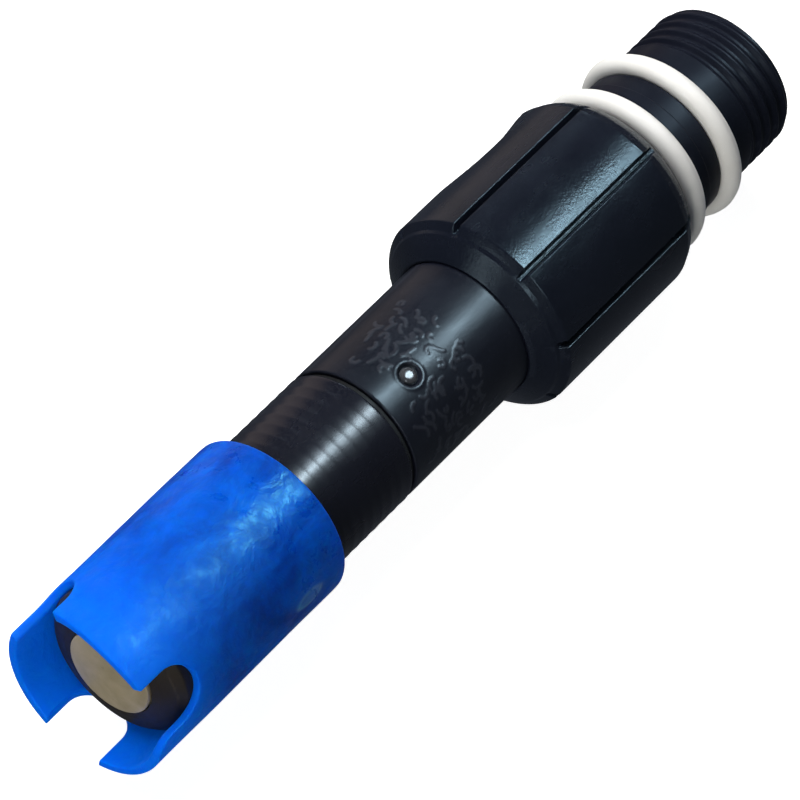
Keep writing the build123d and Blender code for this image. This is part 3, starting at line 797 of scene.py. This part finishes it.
PIN_FOOT = 6.85
PIN_SHOULDER = 9.2
DOME_ROWS = 14
DOME_DROP = 0.42
stalk_r = pin_r - 0.01
pin_foot = [(PIN_FOOT, pin_r * 0.5), (PIN_FOOT, pin_r - 0.1), (PIN_FOOT + 0.15, stalk_r)]
dome = [
    (BARREL_R - 0.03 - DOME_DROP * (q / DOME_ROWS) ** 5, pin_r * q / DOME_ROWS)
    for q in range(DOME_ROWS, 0, -1)
]
pin_outline = np.array(pin_foot + [(PIN_SHOULDER, stalk_r)] + dome)
pin = radial_button("mark_pin", pin_outline, pin_angle, pin_station)
place(pin, "lock_pin", "barrel", pin_plastic)


# --- Seam and lower sleeve ------------------------------------------------------------------------

gasket_start, gasket_end, gasket_r = span("seam_gasket")
gasket_outline = rounded(
    [
        (gasket_start, BARREL_BORE_R, 0.05),
        (gasket_start, gasket_r, 0.2),
        (gasket_end, gasket_r, 0.2),
        (gasket_end, BARREL_BORE_R, 0.05),
    ]
)
gasket = turned("seam_ring", gasket_outline, 160)
place(gasket, "seam_gasket", "barrel", black_rubber)

SLEEVE_R = 9.80
RING_PITCH = 1.81
RING_DEPTH = 0.045
RING_COUNT = 8
RING_POINTS = 14
RING_CREST = 0.12  # a ring stays plain where its sine is below this
SPIGOT_R = 8.15
SPIGOT_BORE_R = 6.0
SLEEVE_BORE_R = 8.4
GUIDE_BORE_R = 8.75
NOSE_BORE_R = 9.2
GUIDE_SEAT = 96.0
NOSE_SEAT = 112.0
spigot_start, sleeve_end, collar_r = span("lower_sleeve")
sleeve_start = gasket_end + FIT_GAP
spigot_seal = span("spigot_seal")
guard_ring = span("guard_ring")
nose_start, nose_end, nose_r = span("outlet_nose")
guard_start, guard_end, guard_r = span("outlet_guard")

sleeve_corners = [
    (spigot_start, SPIGOT_BORE_R, 0.1),
    (spigot_start, SPIGOT_R, 0.15),
    *seal_groove(spigot_seal, SPIGOT_R, spigot_seal[2] - 1.22),
    (sleeve_start, SPIGOT_R, 0.05),
    (sleeve_start, SLEEVE_R, 0.3),
]
ring_first = sleeve_start + 0.25 * RING_PITCH + 0.12
for k in range(RING_COUNT * RING_POINTS + 1):
    rings = k / RING_POINTS
    valley = max(0.0, math.sin(math.pi * (rings % 1.0)) - RING_CREST) / (1 - RING_CREST)
    sleeve_corners.append((ring_first + rings * RING_PITCH, SLEEVE_R - RING_DEPTH * valley, 0.0))
sleeve_corners += [
    (guard_start + 0.9, SLEEVE_R, 0.1),
    (guard_start + 1.5, collar_r, 0.2),
    *seal_groove(guard_ring, collar_r, guard_ring[2] - 1.02),
    (sleeve_end - 4.05, collar_r, 0.1),
    (sleeve_end - 4.05, nose_r, 0.05),
    (sleeve_end, nose_r, 0.1),
    (sleeve_end, NOSE_BORE_R, 0.05),
    (NOSE_SEAT, NOSE_BORE_R, 0.05),
    (NOSE_SEAT, GUIDE_BORE_R, 0.05),
    (GUIDE_SEAT, GUIDE_BORE_R, 0.05),
    (GUIDE_SEAT, SLEEVE_BORE_R, 0.05),
    (sleeve_start + 2.0, SLEEVE_BORE_R, 0.1),
    (sleeve_start + 0.5, SPIGOT_BORE_R, 0.1),
]
sleeve = turned("ringed_sleeve", divided(rounded(sleeve_corners, steps=4), 2.0), 224)
place(sleeve, "lower_sleeve", "barrel", black_sleeve)


# --- Outlet nose and poppet disc ------------------------------------------------------------------

disc_back, disc_crown, disc_r = span("deflector_disc")
RECESS_R = disc_r + 0.09
SEAT_BORE_R = 5.2
CHAMBER_R = 7.4
NOSE_STEP = NOSE_SEAT + 0.6
nose_corners = [
    (nose_end, RECESS_R, 0.12),
    (disc_back - 0.05, RECESS_R, 0.05),
    (disc_back - 0.05, SEAT_BORE_R, 0.05),
    (disc_back - 2.35, SEAT_BORE_R, 0.2),
    (disc_back - 4.65, CHAMBER_R, 0.2),
    (nose_start, CHAMBER_R, 0.1),
    (nose_start, GUIDE_BORE_R - FIT_GAP, 0.1),
    (NOSE_STEP, GUIDE_BORE_R - FIT_GAP, 0.05),
    (NOSE_STEP, NOSE_BORE_R - FIT_GAP, 0.05),
    (sleeve_end + FIT_GAP, NOSE_BORE_R - FIT_GAP, 0.05),
    (sleeve_end + FIT_GAP, nose_r, 0.12),
    (nose_end - 1.85, nose_r, 0.5),
    (nose_end - 0.85, 9.2, 1.2),
    (nose_end - 0.22, 7.2, 1.0),
]
nose = turned("outlet_nose_ring", divided(rounded(nose_corners, steps=8), 1.2), 192)
place(nose, "outlet_nose", "barrel", nose_plastic)

CROWN_ROWS = 16
CROWN_RISE = 0.34
edge_station = disc_crown - 0.35
dome_points = [
    (
        edge_station + CROWN_RISE * (1 - (q / CROWN_ROWS) ** 2),
        (disc_r - 0.22) * q / CROWN_ROWS,
    )
    for q in range(1, CROWN_ROWS + 1)
]
disc_outline = np.array(
    dome_points
    + [
        (edge_station - 0.02, disc_r - 0.11),
        (edge_station - 0.10, disc_r - 0.03),
        (edge_station - 0.24, disc_r),
        (disc_back + 0.12, disc_r),
        (disc_back + 0.02, disc_r - 0.1),
        (disc_back, disc_r - 0.3),
        (disc_back, 2.1),
        (disc_back + 0.1, 2.02),
        (disc_back + 0.6, 2.02),
        (disc_back + 0.65, 1.9),
    ]
)
disc_poles = ((-disc_crown + 0.01, 0, 0), (-disc_back - 0.65, 0, 0))
disc = turned("poppet_disc", disc_outline, 160, poles=disc_poles)
place(disc, "deflector_disc", "poppet", disc_metal)


# --- Guard ----------------------------------------------------------------------------------------

GUARD_BORE_R = 10.24
COLLAR_BORE_R = 10.53
NOTCH_R = 3.95
NOTCH_ROOT = 119.4
NOTCH_ANGLES = [math.radians(degrees) for degrees in (39.8, 159.6, 282.4)]
CROWN_ANGLE = math.radians(CAMERA_SIDE)
CROWN_R = 28.0
SHARP_CORNER = 0.18
SOFT_CORNER = 2.4
TIP_CORNERS = (SHARP_CORNER, SOFT_CORNER, SHARP_CORNER)  # after each notch
LEAST_CORNER = 0.02
TIP_ROUND_OUTSIDE, TIP_ROUND_INSIDE = 0.34, 0.30
NOTCH_STEPS = 16
WALL_STEPS = 6
SOFT_STEPS = 12
SHARP_STEPS = 4
TIP_STEPS = 36
BORE_ROWS = 10
OUTSIDE_ROWS = 60
PLAIN_FROM = 0.9  # the guard's inlet rim is round up to here
OVAL_ANGLE, OVAL_STATION = math.radians(179.0), 99.6
OVAL_HALF_LONG, OVAL_HALF_WIDE = 2.3, 1.15
OVAL_HEIGHT = 0.08
SKIN_SINK = 0.10
SKIN_SWAY = 0.016


def crowned(angle, radius, end):
    """Station of the tip line, which is crowned on the prong that faces up."""
    across = radius * np.sin(angle_between(angle, CROWN_ANGLE))
    facing = (angle > NOTCH_ANGLES[0]) & (angle < NOTCH_ANGLES[1])
    return end - np.where(facing, CROWN_R - np.sqrt(CROWN_R**2 - across**2), 0.0)


def tip_outline(radius, inset):
    """Angles and stations round the guard's outlet edge at a radius, set into the wall by inset."""
    centre = NOTCH_ROOT + NOTCH_R
    notch_r = NOTCH_R + inset
    sharp = max(SHARP_CORNER - inset, LEAST_CORNER)
    end = guard_end - inset
    points = []
    for k, notch in enumerate(NOTCH_ANGLES):
        ahead = NOTCH_ANGLES[(k + 1) % 3] + (TURN if k == 2 else 0.0)
        corner = max(TIP_CORNERS[k] - inset, LEAST_CORNER)
        gap_before = math.asin((notch_r + corner) / radius)
        gap_after = math.asin((notch_r + sharp) / radius)
        for q in range(-NOTCH_STEPS, NOTCH_STEPS + 1):
            t = q / NOTCH_STEPS * math.pi / 2
            across, along = notch_r * math.sin(t), centre - notch_r * math.cos(t)
            points.append((notch + math.asin(across / radius), along, False))
        wall = math.asin(notch_r / radius)
        first, last = notch + wall, ahead - wall
        for q in range(1, WALL_STEPS + 1):
            along = centre + (end - corner - centre) * q / WALL_STEPS
            points.append((first, along, q == WALL_STEPS))
        for q in range(1, SOFT_STEPS + 1):
            t = q / SOFT_STEPS * math.pi / 2
            turned_by = math.asin((notch_r + corner * (1 - math.cos(t))) / radius)
            points.append((notch + turned_by, end - corner * (1 - math.sin(t)), True))
        for q in range(1, TIP_STEPS):
            across = (ahead - notch - gap_before - gap_after) * q / TIP_STEPS
            points.append((notch + gap_before + across, end, True))
        for q in range(SHARP_STEPS, 0, -1):
            t = q / SHARP_STEPS * math.pi / 2
            turned_by = math.asin((notch_r + sharp * (1 - math.cos(t))) / radius)
            points.append((ahead - turned_by, end - sharp * (1 - math.sin(t)), True))
        for q in range(WALL_STEPS, 0, -1):
            along = centre + (end - sharp - centre) * q / WALL_STEPS
            points.append((last, along, q == WALL_STEPS))
    angle, station, on_tip = (np.array(column) for column in zip(*points))
    drop = guard_end - crowned(angle, radius, guard_end)
    share = np.clip((station - centre) / (guard_end - centre), 0, 1)
    return angle, station - drop * np.where(on_tip, 1.0, share)


def guard_rows():
    """Rows of (angle, station, radius) round the guard's wall: outlet edge, bore, rim, outside."""
    outer, inner = TIP_ROUND_OUTSIDE, TIP_ROUND_INSIDE
    quarter = [q / 4 * math.pi / 2 for q in range(5)]
    edge = [(outer * (1 - math.sin(t)), guard_r - outer * (1 - math.cos(t))) for t in quarter]
    edge += [(inner * (1 - math.cos(t)), GUARD_BORE_R + inner * (1 - math.sin(t))) for t in quarter]
    rows = []
    for inset, radius in edge:
        angle, station = tip_outline(radius, inset)
        rows.append((angle, station, np.full(len(angle), radius)))
    count = len(rows[0][0])
    even = NOTCH_ANGLES[0] - math.radians(22) + np.arange(count) * TURN / count
    angle, station, _ = rows[-1]
    shoulder = sleeve_end - 3.95
    for k in range(1, BORE_ROWS + 1):
        share = k / BORE_ROWS
        row_angle = angle + (even - angle) * smooth_step(0.0, 1.0, share)
        goal = station + (shoulder + 0.15 - station) * share
        rows.append((row_angle, goal, np.full(count, GUARD_BORE_R)))
    plain = [
        (shoulder + 0.02, GUARD_BORE_R + 0.05),
        (shoulder, COLLAR_BORE_R - 0.05),
        (shoulder - 0.1, COLLAR_BORE_R),
        (guard_start + 10, COLLAR_BORE_R),
        (guard_start + 0.40, COLLAR_BORE_R),
        (guard_start + 0.16, COLLAR_BORE_R + 0.06),
    ]
    middle_r, bulge = (guard_r + COLLAR_BORE_R) / 2, (guard_r - COLLAR_BORE_R) / 2
    for k in range(1, 8):
        t = math.pi * k / 8
        plain.append((guard_start + 0.4 * (1 - math.sin(t)) ** 1.5, middle_r - bulge * math.cos(t)))
    plain += [(guard_start + 0.5, guard_r - 0.02), (guard_start + PLAIN_FROM, guard_r)]
    for a, r in plain:
        rows.append((even, np.full(count, a), np.full(count, r)))
    angle, station, _ = rows[0]
    start = guard_start + PLAIN_FROM
    for k in range(1, OUTSIDE_ROWS):
        share = k / OUTSIDE_ROWS
        row_angle = even + (angle - even) * smooth_step(0.25, 1.0, share)
        rows.append((row_angle, start + (station - start) * share, np.full(count, guard_r)))
    return rows


def guard_skin(angle, station, radius):
    """Soft unevenness of the waxy wall, and a small oval rim near the collar."""
    outside = smooth_step(guard_r - 0.25, guard_r - 0.02, radius)
    sway = np.sin(3 * angle + 0.21 * station + 1.1) + 0.7 * np.sin(5 * angle - 0.34 * station)
    sway = sway + 0.5 * np.sin(9 * angle + 0.55 * station + 2.0)
    made = radius - outside * (SKIN_SINK + SKIN_SWAY * sway)
    return made + outside * OVAL_HEIGHT * oval_mark(angle, station)


def oval_mark(angle, station):
    """1 on the rim of a small plain oval near the guard's inlet end, less inside it, else 0."""
    across = angle_between(angle, OVAL_ANGLE) * guard_r / OVAL_HALF_WIDE
    reach = np.hypot(across, (station - OVAL_STATION) / OVAL_HALF_LONG)
    rim = np.exp(-(((reach - 0.85) / 0.2) ** 2))
    return np.maximum(rim, 0.45 * (reach < 0.85))


rows = guard_rows()
angle = np.array([row[0] for row in rows])
station = np.array([row[1] for row in rows])
radius = guard_skin(angle, station, np.array([row[2] for row in rows]))
guard = grid_object("slotted_guard", -station, radius * np.cos(angle), radius * np.sin(angle))
mark_relief(guard, oval_mark(angle, station) * (radius > guard_r - 0.3))
place(guard, "outlet_guard", "guard", blue_wax)


# --- Seals in place, and return spring ------------------------------------------------------------

ring_seal(
    "white_seal_front", "shank_seal_outer", "inlet_body", white_rubber, 0.05, 0.7
)
ring_seal(
    "white_seal_back", "shank_seal_inner", "inlet_body", white_rubber, 0.05, 2.9
)

SPRING_TURNS = 5
TURN_ROWS = 48
CAD_WIRE_R = 0.4
WIRE_R = 0.39

spring_low, spring_high, spring_r = span("coil_spring")
turn_angle = np.linspace(0, SPRING_TURNS * TURN, SPRING_TURNS * TURN_ROWS + 1)[:, None]
wire_angle = (np.arange(16) * TURN / 16)[None, :]
coil_r = spring_r - CAD_WIRE_R
coil_length = spring_high - spring_low - 2 * CAD_WIRE_R
lead = math.atan2(coil_length, SPRING_TURNS * TURN * coil_r)
along = WIRE_R * np.sin(wire_angle) * math.cos(lead)
around = WIRE_R * np.sin(wire_angle) * math.sin(lead)
coil_station = spring_low + CAD_WIRE_R + coil_length * turn_angle / (SPRING_TURNS * TURN) + along
reach = coil_r + WIRE_R * np.cos(wire_angle)
spring = grid_object(
    "return_spring",
    -coil_station,
    reach * np.cos(turn_angle) + around * np.sin(turn_angle),
    reach * np.sin(turn_angle) - around * np.cos(turn_angle),
    closed_rows=False,
    poles=(
        (-(spring_low + CAD_WIRE_R), coil_r, 0.0),
        (-(spring_high - CAD_WIRE_R), coil_r, 0.0),
    ),
)
place(spring, "coil_spring", "poppet", steel)
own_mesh(spring)


# --- Hidden pieces --------------------------------------------------------------------------------

hidden_looks = {
    "black_rubber": black_rubber,
    "disc_plastic": acetal,
    "strainer_plastic": strainer_plastic,
    "silicone": silicone,
    "steel": steel,
    "black_plastic": black_smooth,
}
slots = {row["node"]: row["material_slot"] for row in frame["record"]["subparts"]}
for node, solid in frame["nodes"].items():
    if not solid.hide_render:
        solid.data.materials.clear()
        solid.data.materials.append(hidden_looks[slots[node]])


# --- Floor, light and world -----------------------------------------------------------------------

def floor_material():
    """Pale studio white that glows by itself, so that it is even without paling the blacks."""
    s = Shader("floor")
    s.bsdf.inputs["Specular IOR Level"].default_value = 0.0
    s.bsdf.inputs["Emission Color"].default_value = (1.0, 1.0, 1.0, 1.0)
    s.bsdf.inputs["Emission Strength"].default_value = 0.94
    clouds = s.noise(6.0, detail=2.0)
    colour = s.ramp(clouds, [(0.3, (0.50, 0.50, 0.50)), (0.7, (0.53, 0.53, 0.53))])
    rough = s.spread(s.noise(40.0), 0.85, 0.95)
    normal = s.bump(s.noise(400.0), 0.2, 0.00005)
    return s.finish(colour, rough, normal)


def staged(name, rows):
    """Part of the studio from rows of points. The camera sees it and the emitter doesn't."""
    mesh = bpy.data.meshes.new(name)
    columns = len(rows[0])
    mesh.from_pydata(
        [point for row in rows for point in row],
        [],
        [
            (j * columns + i, j * columns + i + 1, (j + 1) * columns + i + 1, (j + 1) * columns + i)
            for j in range(len(rows) - 1)
            for i in range(columns - 1)
        ],
    )
    mesh.materials.append(studio_white)
    made = bpy.data.objects.new(name, mesh)
    bpy.context.scene.collection.objects.link(made)
    made.visible_glossy = False
    made.visible_diffuse = False
    made.visible_shadow = False
    return made


FLOOR_HALF = 6.0
WALL_R = 5.5
WALL_HEIGHT = 5.0
FLOOR_GAP = 0.00002
studio_white = floor_material()
floor_z = cad_low.z - FLOOR_GAP
marks = np.linspace(-FLOOR_HALF, FLOOR_HALF, 9)
staged("floor", [[(x, y, floor_z) for x in marks] for y in marks])
wall_line = [(WALL_R * math.cos(t), WALL_R * math.sin(t)) for t in np.linspace(0.0, TURN, 65)]
wall_heights = (floor_z, floor_z + WALL_HEIGHT)
staged("backdrop", [[(x, y, z) for x, y in wall_line] for z in wall_heights])

middle = (cad_low + cad_high) / 2


def panel(name, phi, lean, distance, length, width, radiance, colour, glossy=True, diffuse=True):
    """Soft rectangular light, phi degrees round the emitter from the side that faces the camera.

    lean tips it towards the inlet, in degrees. Its length runs along the emitter.
    """
    turn = math.radians(CAMERA_SIDE + phi)
    tip = math.radians(lean)
    toward = Vector((math.sin(tip), math.cos(tip) * math.cos(turn), math.cos(tip) * math.sin(turn)))
    data = bpy.data.lights.new(name, "AREA")
    data.shape = "RECTANGLE"
    data.size, data.size_y = length, width
    data.energy = radiance * math.pi * length * width
    data.color = colour
    lamp = bpy.data.objects.new(name, data)
    lamp.location = middle + toward * distance
    side = Vector((1, 0, 0)) - toward * toward.x
    side.normalize()
    up = toward.cross(side)
    lamp.rotation_mode = "QUATERNION"
    lamp.rotation_quaternion = Matrix((side, up, toward)).transposed().to_quaternion()
    lamp.visible_camera = False
    lamp.visible_glossy = glossy
    lamp.visible_diffuse = diffuse
    bpy.context.scene.collection.objects.link(lamp)
    return lamp


panel("key_strip", -7.5, 24.4, 1.2, 0.57, 0.15, 34.0, (0.70, 0.88, 1.0), diffuse=False)
panel("key_glow", -9, 24.4, 1.2, 0.57, 0.40, 0.7, (0.70, 0.86, 1.0), diffuse=False)
panel("main_soft", -50, 5, 1.3, 1.2, 1.1, 7.4, (1.0, 0.99, 0.97), glossy=False)
panel("left_glow", -106, 20, 1.3, 1.4, 0.8, 0.34, (1.0, 0.78, 0.66), diffuse=False)
panel("left_spot", -76, 48, 1.2, 0.20, 0.10, 8.0, (0.72, 0.86, 1.0), diffuse=False)
panel("outlet_soft", 52, -70, 1.1, 0.5, 0.7, 6.6, (1.0, 0.98, 0.92), glossy=False)
panel("outlet_glow", -64, -72, 1.1, 0.4, 0.26, 2.4, (0.9, 0.95, 1.0), diffuse=False)
panel("inlet_view_key", 20, -42, 1.2, 0.4, 0.3, 7.0, (0.85, 0.93, 1.0), diffuse=False)
panel("inlet_view_fill", 140, 50, 1.2, 0.7, 0.7, 2.4, (0.95, 0.97, 1.0), glossy=False)

world = bpy.data.worlds.new("studio")
world.use_nodes = True
world.node_tree.nodes["Background"].inputs["Color"].default_value = (0.75, 0.84, 1.0, 1.0)
world.node_tree.nodes["Background"].inputs["Strength"].default_value = 0.08
bpy.context.scene.world = world
bpy.context.scene.view_settings.view_transform = "Standard"
